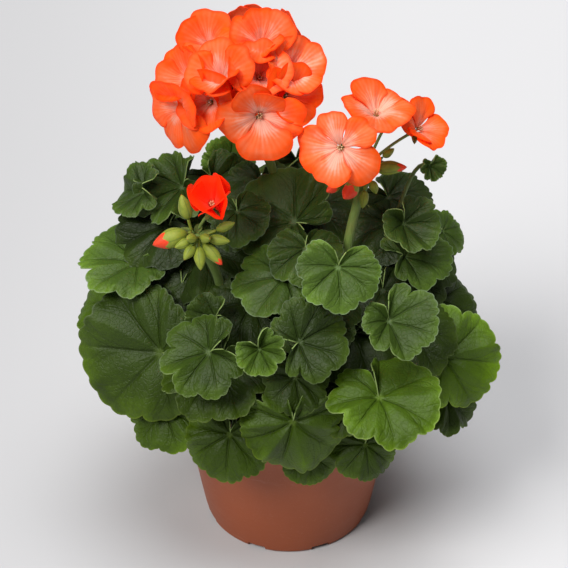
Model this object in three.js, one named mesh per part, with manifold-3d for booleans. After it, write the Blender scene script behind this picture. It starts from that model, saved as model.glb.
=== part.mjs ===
// Potted zonal geranium: plastic pot, compost, four branching stems, scalloped leaves,
// three flower heads. Millimetres, +Z up, origin at the centre of the pot's underside.
import * as THREE from "three";
import { mergeVertices } from "three/addons/utils/BufferGeometryUtils.js";
import Module from "manifold-3d";

const wasm = await Module();
wasm.setup();

// Driving dimensions of the pot
const rimDiameter = 120;
const potHeight = 95;
const baseDiameter = 90;
const wall = 1.8;
const floorThickness = 2.4;
const rimBandHeight = 14;
const rimBandStep = 1.6;
const baseRound = 2.2;
const notchCount = 8;
const notchWidth = 10;
const notchHeight = 2.9;
const notchDepth = 9;
const potSides = 40;

// Driving dimensions of the compost and the plant
const soilTop = 80;
const soilCrown = 3;
const soilGap = 0.3;
const stemRadius = 4.2;
const stemSocketDepth = 12;
const seatGap = 0.3;
const stalkRadius = 1.2;
const bladeThickness = 1;
const peduncleRadius = 2.3;
const pedicelRadius = 0.9;
const petalThickness = 0.8;
const leafSides = 16;
const flowerSides = 20;

// Stems: foot on the compost and tip, [x, y, z]
const stems = {
  middle: { foot: [2, 6, soilTop], tip: [-2, 4, 168], bow: [0, 0] },
  left: { foot: [-17, -3, soilTop], tip: [-33, -16, 156], bow: [-5, -3] },
  right: { foot: [18, -3, soilTop], tip: [33, -16, 156], bow: [5, -3] },
  back: { foot: [0, 25, soilTop], tip: [-2, 34, 160], bow: [0, 4] },
};

// Leaves: name, place of the stalk on the blade [x, y, z], blade width, compass way it faces
// (0 is the front, 90 the right), pitch (90 faces the sky), turn of its tip (0 is downhill,
// 90 to the right), stem and height at which the stalk leaves that stem
const leaves = [
  ["leaf_front_hanging", [2, -84, 124], 51, 0, 13, -3, "middle", 102],
  ["leaf_front_right_large", [43, -82, 137], 54, 15, 75, 5, "right", 112],
  ["leaf_front_right_low", [38, -67, 95], 34, 15, 30, 0, "right", 96],
  ["leaf_front_left_low", [-29, -71, 105], 43, -12, 30, -5, "left", 98],
  ["leaf_front_left_broad", [-34, -62, 141], 46, -22, 68, -12, "left", 114],
  ["leaf_front_left_bright", [-38, -74, 158], 44, -15, 58, -50, "left", 141],
  ["leaf_left_low", [-61, -53, 107], 41, -35, 38, -15, "left", 100],
  ["leaf_left_large", [-63, -47, 137], 62, -18, 30, -78, "left", 118],
  ["leaf_left_bright", [-75, -13, 167], 47, -20, 76, -75, "left", 130],
  ["leaf_centre", [5, -74, 164], 41, 5, 44, 80, "middle", 128],
  ["leaf_heart", [23, -58, 196], 39, 5, 50, -5, "right", 146],
  ["leaf_centre_left", [-2, -42, 179], 39, -15, 66, -72, "middle", 142],
  ["leaf_folded_right", [47, -68, 172], 38, 15, 58, 10, "right", 134],
  ["leaf_right_large", [77, -42, 130], 51, 26, 30, 72, "right", 108],
  ["leaf_right_shaded", [76, -10, 142], 42, 50, 50, 40, "right", 118],
  ["leaf_right_upper", [57, -20, 176], 40, 30, 66, 75, "right", 140],
  ["leaf_right_back", [79, 20, 164], 32, 60, 50, 60, "middle", 118],
  ["leaf_top_right", [50, 15, 188], 42, 25, 70, 30, "middle", 148],
  ["leaf_top", [3, -12, 191], 44, -5, 60, -120, "middle", 156],
  ["leaf_top_left", [-25, -18, 201], 38, -15, 60, 20, "left", 150],
  ["leaf_crinkled_left", [-53, 10, 197], 40, -20, 60, -30, "middle", 152],
  ["leaf_under_flowers", [-30, 44, 188], 28, -10, 30, 180, "back", 152],
  ["leaf_left_back", [-72, 30, 140], 54, -115, 35, 0, "back", 112],
  ["leaf_back_left_low", [-52, 62, 122], 56, -140, 25, 0, "back", 104],
  ["leaf_back_low", [-8, 80, 118], 58, 175, 20, 0, "back", 98],
  ["leaf_back_right_low", [38, 68, 122], 54, 152, 25, 0, "back", 102],
  ["leaf_right_back_low", [76, 22, 120], 52, 105, 25, 0, "right", 100],
  ["leaf_back_left", [-48, 49, 158], 50, -140, 50, 0, "back", 128],
  ["leaf_back_middle", [-6, 66, 160], 52, 180, 48, 0, "back", 124],
  ["leaf_back_right", [42, 50, 160], 50, 145, 50, 0, "back", 130],
  ["leaf_back_top", [8, 40, 190], 48, 170, 68, 0, "back", 146],
  ["leaf_back_skirt_left", [-34, 70, 98], 42, -155, 20, 0, "back", 94],
  ["leaf_back_skirt_right", [28, 70, 98], 42, 158, 20, 0, "back", 94],
  ["leaf_left_skirt", [-74, 0, 108], 46, -90, 25, 0, "left", 96],
];

// Outline of a blade: basal lobes at the back, a narrow bay where the stalk joins
const sideReach = 0.5;
const tipReach = 0.07;
const lobeShrink = 0.28;
const lobeStart = 1.75;
const bayReach = 0.1;

// Flower heads: stalk foot, its stem, and the hub from which the flower stalks spread
const heads = {
  big: { stem: "middle", foot: [-4, 5, 160], bend: [-8, 13, 205], hub: [-22, 4, 240] },
  right: { stem: "right", foot: [31, -13, 150], bend: [29, -20, 185], hub: [38, -7, 221] },
  left: { stem: "left", foot: [-33, -15, 148], bend: [-35, -28, 170], hub: [-44, -42, 204] },
};

// Flowers: name, head, centre [x, y, z], width, facing, pitch and turn as for the leaves
const flowers = [
  ["flower_big_front", "big", [-14, -28, 260], 38, 8, 25, 0],
  ["flower_big_left", "big", [-49, -16, 256], 34, -45, 5, 0],
  ["flower_big_front_left", "big", [-33, -16, 280], 28, -20, 40, 0],
  ["flower_big_crown_left", "big", [-37, 2, 285], 29, -20, 60, 0],
  ["flower_big_crown", "big", [-12, -2, 291], 32, 5, 60, 0],
  ["flower_big_right", "big", [2, -8, 273], 32, 40, 25, 0],
  ["flower_big_back", "big", [-18, 26, 276], 38, 175, 45, 0],
  ["flower_right_front", "right", [24, -32, 248], 38, -15, 25, 0],
  ["flower_right_crown", "right", [41, -8, 254], 36, 10, 60, 0],
  ["flower_right_side", "right", [61, -4, 240], 28, 45, 40, 0],
  ["flower_left_small", "left", [-36, -40, 224], 22, 5, 45, 0],
];

// Buds: name, head, and each bud's centre, length and width
const budGroups = [
  ["buds_right_head", "right", [
    [[54, -6, 220], 14, 6],
    [[28, -24, 222], 11, 6],
    [[36, -18, 207], 9, 5],
  ]],
  ["buds_left_head_low", "left", [
    [[-48, -50, 197], 10, 5.5],
    [[-40, -52, 194], 11, 6],
    [[-33, -50, 202], 10, 5.5],
  ]],
  ["buds_left_head_side", "left", [
    [[-59, -45, 203], 13, 7],
    [[-52, -40, 217], 11, 6],
  ]],
];

const colours = {
  pot: 0x96553c,
  soil: 0x2e2119,
  stem: 0x6f7f45,
  leaf: 0x3f6b2c,
  flower: 0xf2622c,
  bud: 0x86a23c,
};

function material(colour, roughness) {
  return new THREE.MeshStandardMaterial({ color: colour, roughness, metalness: 0 });
}

const materials = {
  pot: material(colours.pot, 0.55),
  soil: material(colours.soil, 0.95),
  stem: material(colours.stem, 0.6),
  leaf: material(colours.leaf, 0.6),
  flower: material(colours.flower, 0.5),
  bud: material(colours.bud, 0.55),
};

// A closed mesh with merged corners becomes a solid for cutting and joining
function toSolid(geometry) {
  const bare = geometry.clone();
  bare.deleteAttribute("normal");
  bare.deleteAttribute("uv");
  const merged = mergeVertices(bare, 1e-4);
  return new wasm.Manifold(new wasm.Mesh({
    numProp: 3,
    vertProperties: new Float32Array(merged.attributes.position.array),
    triVerts: new Uint32Array(merged.index.array),
  }));
}

function toGeometry(solid) {
  const mesh = solid.getMesh();
  const geometry = new THREE.BufferGeometry();
  geometry.setAttribute("position", new THREE.BufferAttribute(mesh.vertProperties, 3));
  geometry.setIndex(new THREE.BufferAttribute(mesh.triVerts, 1));
  geometry.computeVertexNormals();
  return geometry;
}

function namedMesh(name, geometry, look) {
  const mesh = new THREE.Mesh(geometry, look);
  mesh.name = name;
  return mesh;
}

// A profile of [radius, height] points turned about the vertical axis
function turned(profile, sides) {
  const points = profile.map(([r, z]) => new THREE.Vector2(r, z));
  const geometry = new THREE.LatheGeometry(points, sides);
  geometry.rotateX(Math.PI / 2);
  return geometry;
}

// A round rod along a curve, closed at both ends
function rod(curve, radius, sides, steps) {
  const ring = [];
  for (let i = 0; i < sides; i += 1) {
    const angle = (2 * Math.PI * i) / sides;
    ring.push(new THREE.Vector2(radius * Math.cos(angle), radius * Math.sin(angle)));
  }
  const section = new THREE.Shape(ring);
  return new THREE.ExtrudeGeometry(section, { steps, extrudePath: curve, curveSegments: 1 });
}

function vector([x, y, z]) {
  return new THREE.Vector3(x, y, z);
}

// The frame of a blade or flower: right-hand side, tip and the way it faces
function facingFrame(facing, pitch, turn) {
  const a = THREE.MathUtils.degToRad(facing);
  const p = THREE.MathUtils.degToRad(pitch);
  const t = THREE.MathUtils.degToRad(turn);
  const face = new THREE.Vector3(Math.sin(a) * Math.cos(p), -Math.cos(a) * Math.cos(p), Math.sin(p));
  const downhill = new THREE.Vector3(Math.sin(a) * Math.sin(p), -Math.cos(a) * Math.sin(p), -Math.cos(p));
  const across = new THREE.Vector3(Math.cos(a), Math.sin(a), 0);
  const tip = downhill.multiplyScalar(Math.cos(t)).addScaledVector(across, Math.sin(t));
  const side = new THREE.Vector3().crossVectors(tip, face);
  return { side, tip, face };
}

// Pot: tapered wall with a stepped rim band, rounded base edge and drainage notches
function potProfile() {
  const rim = rimDiameter / 2;
  const foot = baseDiameter / 2;
  const bandFoot = potHeight - rimBandHeight;
  const lean = (rim - rimBandStep - foot) / bandFoot;
  const outerAt = (z) => foot + lean * z;
  return [
    [0, 0],
    [foot - baseRound, 0],
    [foot - 0.3 * baseRound, 0.3 * baseRound],
    [outerAt(baseRound), baseRound],
    [outerAt(bandFoot), bandFoot],
    [rim - 0.3, bandFoot + 0.4],
    [rim, potHeight - 0.6],
    [rim - 0.6, potHeight],
    [rim - wall, potHeight],
    [rim - wall, bandFoot + 2.4],
    [outerAt(bandFoot) - wall, bandFoot],
    [outerAt(floorThickness) - wall, floorThickness],
    [0, floorThickness],
  ];
}

function makePot() {
  let pot = toSolid(turned(potProfile(), potSides));
  for (let i = 0; i < notchCount; i += 1) {
    const notch = new THREE.BoxGeometry(notchDepth, notchWidth, 2 * notchHeight);
    notch.translate(baseDiameter / 2, 0, 0);
    notch.rotateZ((2 * Math.PI * (i + 0.5)) / notchCount);
    pot = pot.subtract(toSolid(notch));
  }
  return toGeometry(pot);
}

// Compost: fills the pot to below its band, domed, with a socket for each stem
function makeSoil() {
  const foot = baseDiameter / 2;
  const lean = (rimDiameter / 2 - rimBandStep - foot) / (potHeight - rimBandHeight);
  const radiusAt = (z) => foot + lean * z - wall - soilGap;
  const bottom = floorThickness + soilGap;
  let soil = toSolid(turned([
    [0, bottom],
    [radiusAt(bottom), bottom],
    [radiusAt(soilTop - soilCrown), soilTop - soilCrown],
    [0.6 * radiusAt(soilTop), soilTop - 0.3 * soilCrown],
    [0, soilTop],
  ], 32));
  for (const stem of Object.values(stems)) {
    const bore = (stemRadius + seatGap) / Math.cos(Math.PI / 8);
    const socket = new THREE.CylinderGeometry(bore, bore, 2 * stemSocketDepth, 8);
    socket.rotateX(Math.PI / 2);
    socket.rotateZ(Math.PI / 8);
    socket.translate(stem.foot[0], stem.foot[1], stem.foot[2]);
    soil = soil.subtract(toSolid(socket));
  }
  return toGeometry(soil);
}

// Point on a stem's centre line at a height above the compost
function stemPoint(stem, height) {
  const t = (height - stem.foot[2]) / (stem.tip[2] - stem.foot[2]);
  const swell = 4 * t * (1 - t);
  const x = THREE.MathUtils.lerp(stem.foot[0], stem.tip[0], t) + swell * stem.bow[0];
  const y = THREE.MathUtils.lerp(stem.foot[1], stem.tip[1], t) + swell * stem.bow[1];
  return new THREE.Vector3(x, y, height);
}

function makeStem(stem) {
  const points = [];
  points.push(vector(stem.foot).setZ(soilTop - stemSocketDepth + seatGap));
  points.push(vector(stem.foot).setZ(soilTop - 0.5 * stemSocketDepth));
  points.push(vector(stem.foot).setZ(soilTop + 1));
  for (let i = 1; i <= 5; i += 1) {
    points.push(stemPoint(stem, THREE.MathUtils.lerp(soilTop, stem.tip[2], i / 5)));
  }
  return rod(new THREE.CatmullRomCurve3(points), stemRadius, 8, 12);
}

// Where a stalk that goes towards a target meets the skin of its stem
function stalkSeat(stem, height, target, radius) {
  const core = stemPoint(stem, height);
  const outward = target.clone().sub(core).setZ(0).normalize();
  const rise = new THREE.Vector3(outward.x, outward.y, 0.8).normalize();
  const slant = Math.sqrt(1 - rise.dot(outward) ** 2);
  const reach = stemRadius + seatGap + radius * slant;
  return { point: core.addScaledVector(outward, reach), rise };
}

// Blade: a thin lens disc pushed out to the lobed outline and cupped
function makeBlade(width) {
  const half = bladeThickness / 2;
  const profile = [[0, -half], [0.55, -half], [1, -0.6 * half], [1, 0.6 * half], [0.55, half], [0, half]];
  const geometry = turned(profile, leafSides);
  const place = geometry.attributes.position;
  for (let i = 0; i < place.count; i += 1) {
    const angle = Math.atan2(place.getX(i), place.getY(i));
    const out = Math.hypot(place.getX(i), place.getY(i));
    const back = THREE.MathUtils.smoothstep(Math.abs(angle), lobeStart, Math.PI);
    const inBay = Math.abs(angle) > Math.PI - 0.01;
    const full = width * (sideReach + tipReach * Math.cos(angle)) * (1 - lobeShrink * back);
    const reach = out * (inBay ? bayReach * width : full);
    const sag = -0.12 * width * (reach / width) ** 2;
    place.setXYZ(i, reach * Math.sin(angle), reach * Math.cos(angle), place.getZ(i) + sag);
  }
  return geometry;
}

function makeLeaf([, hub, width, facing, pitch, turn, stemName, height]) {
  const { side, tip, face } = facingFrame(facing, pitch, turn);
  const blade = makeBlade(width);
  blade.applyMatrix4(new THREE.Matrix4().makeBasis(side, tip, face));
  blade.translate(hub[0], hub[1], hub[2]);
  const end = vector(hub).addScaledVector(face, 0.2 - bladeThickness / 2);
  const seat = stalkSeat(stems[stemName], height, end, stalkRadius);
  const span = end.distanceTo(seat.point);
  const nearSeat = seat.point.clone().addScaledVector(seat.rise, 0.35 * span);
  const nearEnd = end.clone().addScaledVector(face, -0.28 * span).addScaledVector(tip, -0.1 * span);
  const curve = new THREE.CubicBezierCurve3(seat.point, nearSeat, nearEnd, end);
  return toGeometry(toSolid(blade).add(toSolid(rod(curve, stalkRadius, 5, 6))));
}

// Flower head stalk: from the stem up to a swollen hub
function makeHead(head) {
  const seat = stalkSeat(stems[head.stem], head.foot[2], vector(head.bend), peduncleRadius);
  const curve = new THREE.CatmullRomCurve3([
    seat.point,
    seat.point.clone().addScaledVector(seat.rise, 6),
    vector(head.bend),
    vector(head.hub),
  ]);
  const knob = new THREE.SphereGeometry(1.5 * peduncleRadius, 8, 6);
  knob.translate(head.hub[0], head.hub[1], head.hub[2]);
  return toGeometry(toSolid(rod(curve, peduncleRadius, 6, 10)).add(toSolid(knob)));
}

// Thin stalk from a head's hub towards a flower or bud
function makePedicel(head, end, drop) {
  const hub = vector(head.hub);
  const away = end.clone().sub(hub).normalize();
  const start = hub.clone().addScaledVector(away, 1.5 * peduncleRadius + seatGap);
  const middle = start.clone().lerp(end, 0.5);
  middle.z += drop;
  return rod(new THREE.QuadraticBezierCurve3(start, middle, end), pedicelRadius, 4, 4);
}

// Flower: five joined petals in a shallow cup on a thin stalk
function makeFlower([, headName, centre, width, facing, pitch, turn]) {
  const half = petalThickness / 2;
  const profile = [[0, -half], [0.5, -half], [1, -0.6 * half], [1, 0.6 * half], [0.5, half], [0, half]];
  const geometry = turned(profile, flowerSides);
  const place = geometry.attributes.position;
  for (let i = 0; i < place.count; i += 1) {
    const angle = Math.atan2(place.getX(i), place.getY(i));
    const out = Math.hypot(place.getX(i), place.getY(i));
    const reach = out * (width / 2) * (0.9 + 0.1 * Math.cos(5 * angle));
    const cup = 0.35 * width * (reach / width) ** 2;
    place.setXYZ(i, reach * Math.sin(angle), reach * Math.cos(angle), place.getZ(i) + cup);
  }
  const { side, tip, face } = facingFrame(facing, pitch, turn);
  geometry.applyMatrix4(new THREE.Matrix4().makeBasis(side, tip, face));
  geometry.translate(centre[0], centre[1], centre[2]);
  const end = vector(centre).addScaledVector(face, 0.2 - half);
  return toGeometry(toSolid(geometry).add(toSolid(makePedicel(heads[headName], end, 2))));
}

// Group of buds: each a spindle on its own thin stalk, joined where the stalks meet
function makeBuds([, headName, buds]) {
  const head = heads[headName];
  const hub = vector(head.hub);
  const middle = buds.reduce((sum, [place]) => sum.add(vector(place)), new THREE.Vector3()).divideScalar(buds.length);
  const away = middle.sub(hub).normalize();
  const node = hub.clone().addScaledVector(away, 1.5 * peduncleRadius + seatGap + 2 * pedicelRadius);
  const knot = new THREE.SphereGeometry(2 * pedicelRadius, 6, 4);
  knot.translate(node.x, node.y, node.z);
  let group = toSolid(knot);
  for (const [place, length, width] of buds) {
    const centre = vector(place);
    const along = centre.clone().sub(node).normalize();
    const bud = turned([
      [0, -0.5 * length],
      [0.36 * width, -0.4 * length],
      [0.5 * width, -0.1 * length],
      [0.42 * width, 0.2 * length],
      [0, 0.5 * length],
    ], 6);
    const upright = new THREE.Quaternion().setFromUnitVectors(new THREE.Vector3(0, 0, 1), along);
    bud.applyQuaternion(upright);
    bud.translate(centre.x, centre.y, centre.z);
    const start = centre.clone().addScaledVector(along, -0.3 * length);
    const stalk = rod(new THREE.LineCurve3(node, start), pedicelRadius, 4, 1);
    group = group.add(toSolid(bud)).add(toSolid(stalk));
  }
  return toGeometry(group);
}

const geranium = new THREE.Group();
geranium.add(namedMesh("pot", makePot(), materials.pot));
geranium.add(namedMesh("soil", makeSoil(), materials.soil));
for (const [name, stem] of Object.entries(stems)) {
  geranium.add(namedMesh(`stem_${name}`, makeStem(stem), materials.stem));
}
for (const [name, head] of Object.entries(heads)) {
  geranium.add(namedMesh(`flower_stalk_${name}`, makeHead(head), materials.stem));
}
for (const leaf of leaves) {
  geranium.add(namedMesh(leaf[0], makeLeaf(leaf), materials.leaf));
}
for (const flower of flowers) {
  geranium.add(namedMesh(flower[0], makeFlower(flower), materials.flower));
}
for (const group of budGroups) {
  geranium.add(namedMesh(group[0], makeBuds(group), materials.bud));
}

export default geranium;
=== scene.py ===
import math
from collections import namedtuple

import bpy
import numpy as np
from bpy.props import FloatProperty, FloatVectorProperty, IntProperty, PointerProperty
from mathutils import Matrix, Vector, noise


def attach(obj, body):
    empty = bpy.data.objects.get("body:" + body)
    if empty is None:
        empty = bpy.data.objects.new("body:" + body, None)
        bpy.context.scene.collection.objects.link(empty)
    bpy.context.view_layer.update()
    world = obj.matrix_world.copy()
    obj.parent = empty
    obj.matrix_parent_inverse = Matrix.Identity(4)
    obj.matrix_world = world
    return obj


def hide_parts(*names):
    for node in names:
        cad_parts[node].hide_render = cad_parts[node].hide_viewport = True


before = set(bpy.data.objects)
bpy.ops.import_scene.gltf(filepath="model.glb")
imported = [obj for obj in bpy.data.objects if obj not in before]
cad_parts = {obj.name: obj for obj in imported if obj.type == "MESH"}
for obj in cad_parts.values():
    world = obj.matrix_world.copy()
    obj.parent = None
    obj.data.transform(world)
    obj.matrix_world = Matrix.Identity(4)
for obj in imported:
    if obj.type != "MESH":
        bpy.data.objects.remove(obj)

bl_info = {
    "name": "Potted zonal geranium",
    "version": (1, 0, 0),
    "blender": (4, 5, 0),
    "location": "3D View > Sidebar > Geranium",
    "description": "Builds the leaves, flowers, buds, compost and pot of a zonal geranium",
    "category": "Object",
}

MM = 0.001
BODY = "root"

# Pot and compost, in millimetres
RIM_DIAMETER = 120
POT_HEIGHT = 95
BASE_DIAMETER = 90
POT_WALL = 1.8
POT_FLOOR = 2.4
RIM_BAND_HEIGHT = 14
RIM_BAND_STEP = 1.6
BASE_ROUNDING = 2.2
NOTCH_COUNT = 8
NOTCH_SIZE = (9, 10, 5.8)
NOTCH_ROUNDING = 0.8
SOIL_TOP = 80

# Stems: foot on the compost, tip and sideways bow, in millimetres
Stem = namedtuple("Stem", "foot tip bow")
STEMS = {
    "middle": Stem((2, 6, SOIL_TOP), (-2, 4, 168), (0, 0)),
    "left": Stem((-17, -3, SOIL_TOP), (-33, -16, 156), (-5, -3)),
    "right": Stem((18, -3, SOIL_TOP), (33, -16, 156), (5, -3)),
    "back": Stem((0, 25, SOIL_TOP), (-2, 34, 160), (0, 4)),
}
STEM_RADIUS = 4.2
STEM_RINGS = 40

# Leaves that stand for a CAD node: where the stalk meets the blade, blade width, the way it
# faces (0 front, 90 right), pitch (90 faces the sky), turn of the tip, stem, stalk height,
# brightness (partly the leaf's own, partly painted shade where flowers and other leaves
# shadow it) and seed. Then, where they differ from most leaves: cup (below 0 droops), fold along
# the middle, wave of the margin, half the angle of the gap at the stalk, how much longer the tip
# side is and which way that leans, and how deep the pleats and the notches between lobes are
Leaf = namedtuple(
    "Leaf", "name hub width facing pitch turn stem height tone seed"
            " cup fold wave gap long lean pleat notch",
    defaults=(-0.05, 0.0, 0.9, 0.25, 0.07, 0.0, 1.0, 1.0))
LEAVES = (
    Leaf("front_hanging", (2, -84, 124), 51, 0, 13, -3, "middle", 102, 0.6, 1, cup=-0.14,
         fold=-0.12, wave=1.2, gap=0.12, long=0.1, pleat=2.3, notch=1.2),
    Leaf("front_right_large", (43, -82, 137), 54, 15, 75, 5, "right", 112, 0.9, 2, cup=0.02,
         wave=0.7, gap=0.09, long=0.05, lean=-1.2, notch=1.1),
    Leaf("front_right_low", (38, -67, 95), 34, 15, 30, 0, "right", 96, 0.5, 3, cup=-0.1,
         fold=-0.15, gap=0.2, long=0.08, pleat=1.4),
    Leaf("front_left_low", (-29, -71, 105), 43, -12, 30, -5, "left", 98, 0.5, 4, cup=-0.08,
         fold=-0.05, wave=1.0, gap=0.2, long=0.08, pleat=1.2),
    Leaf("front_left_broad", (-34, -62, 141), 53, -22, 66, -12, "left", 114, 0.4, 5, cup=-0.08,
         wave=1.3, gap=0.2, long=0.05, pleat=0.9, notch=1.5),
    Leaf("front_left_bright", (-38, -74, 158), 42.5, -15, 58, -66, "left", 141, 0.5, 6, cup=0.05,
         fold=0.05, wave=0.8, gap=0.45, long=0.06, lean=-0.5, pleat=0.9, notch=1.5),
    Leaf("left_low", (-61, -53, 107), 41, -35, 38, -15, "left", 100, 0.65, 7, cup=-0.08,
         fold=-0.05, gap=0.2, long=0.06, pleat=0.9, notch=1.2),
    Leaf("left_large", (-63, -47, 137), 66, -18, 30, -78, "left", 118, 0.45, 8, cup=-0.02,
         wave=0.6, long=0.15, pleat=0.8, notch=0.8),
    Leaf("left_bright", (-75, -13, 167), 50, -20, 76, -75, "left", 130, 0.85, 9, cup=0.02,
         fold=0.05, gap=0.15, long=0.11, lean=0.4, pleat=0.8, notch=1.3),
    Leaf("centre", (5, -74, 164), 41, 5, 44, 108, "middle", 128, 0.38, 10, cup=0.0, fold=0.1,
         gap=0.4, long=0.1, notch=1.9),
    Leaf("heart", (23, -58, 196), 39, 5, 50, -5, "right", 146, 0.85, 11, cup=0.02, fold=0.1,
         wave=0.6, gap=0.42, long=0.06),
    Leaf("centre_left", (-2, -42, 179), 39, -15, 66, -72, "middle", 142, 0.65, 12, gap=0.35,
         long=0.16, notch=1.3),
    Leaf("folded_right", (47, -68, 172), 36, 15, 58, 10, "right", 134, 0.62, 13, cup=0.12,
         fold=0.35, wave=0.8, gap=0.4, long=0.13, lean=-0.9, notch=1.5),
    Leaf("right_large", (77, -42, 130), 51, 26, 30, 72, "right", 108, 0.92, 14, cup=-0.02,
         wave=0.7, gap=0.3, long=0.11, pleat=0.9, notch=1.1),
    Leaf("right_shaded", (76, -10, 142), 42, 50, 50, 40, "right", 118, 0.35, 15, cup=-0.08,
         wave=0.8),
    Leaf("right_upper", (57, -20, 176), 38, 30, 66, 88, "right", 140, 0.68, 16, cup=-0.08,
         gap=0.35, long=0.18, pleat=0.9, notch=1.4),
    Leaf("right_back", (79, 20, 164), 27, 60, 50, 60, "middle", 118, 0.7, 17, wave=0.8,
         notch=1.2),
    Leaf("top_right", (50, 15, 188), 42, 25, 70, 30, "middle", 148, 0.32, 18, cup=-0.08, wave=0.8,
         pleat=0.9, notch=1.2),
    Leaf("top", (3, -12, 191), 50, -5, 50, -120, "middle", 156, 0.52, 19, cup=-0.06, gap=0.3,
         long=0.13, pleat=0.8, notch=1.3),
    Leaf("top_left", (-25, -15, 199), 31, -15, 62, 20, "left", 150, 0.42, 20, notch=1.2),
    Leaf("crinkled_left", (-53, 10, 197), 41, -20, 62, -52, "middle", 152, 0.5, 21, cup=0.0,
         fold=0.25, wave=2.8, gap=0.3, long=0.12, pleat=1.6, notch=1.9),
    Leaf("under_flowers", (-30, 44, 188), 28, -10, 30, 180, "back", 152, 0.8, 22, cup=0.1,
         fold=0.55, wave=1.2, gap=0.6, notch=0.8),
    Leaf("left_back", (-72, 30, 140), 54, -115, 35, 0, "back", 112, 0.9, 23, wave=0.8),
    Leaf("back_left_low", (-52, 62, 122), 56, -140, 25, 0, "back", 104, 0.9, 24, cup=-0.08,
         wave=0.8),
    Leaf("back_low", (-8, 80, 118), 58, 175, 20, 0, "back", 98, 0.9, 25, cup=-0.06),
    Leaf("back_right_low", (38, 68, 122), 54, 152, 25, 0, "back", 102, 0.9, 26, cup=-0.06,
         wave=0.8),
    Leaf("right_back_low", (76, 22, 120), 52, 105, 25, 0, "right", 100, 0.8, 27, cup=-0.06,
         wave=0.8),
    Leaf("back_left", (-48, 49, 158), 50, -140, 50, 0, "back", 128, 1.0, 28, cup=-0.02, wave=0.8),
    Leaf("back_middle", (-6, 66, 160), 52, 180, 48, 0, "back", 124, 1.1, 29, cup=-0.02, fold=0.05,
         wave=0.7),
    Leaf("back_right", (42, 50, 160), 50, 145, 50, 0, "back", 130, 1.0, 30, cup=-0.02, wave=0.8),
    Leaf("back_top", (8, 40, 190), 48, 170, 68, 0, "back", 146, 0.8, 31, wave=0.8),
    Leaf("back_skirt_left", (-34, 70, 98), 42, -155, 20, 0, "back", 94, 0.7, 32, cup=-0.08),
    Leaf("back_skirt_right", (28, 70, 98), 42, 158, 20, 0, "back", 94, 0.7, 33, cup=-0.08),
    Leaf("left_skirt", (-74, 0, 108), 46, -90, 25, 0, "left", 96, 0.7, 34, cup=-0.08),
)
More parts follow.
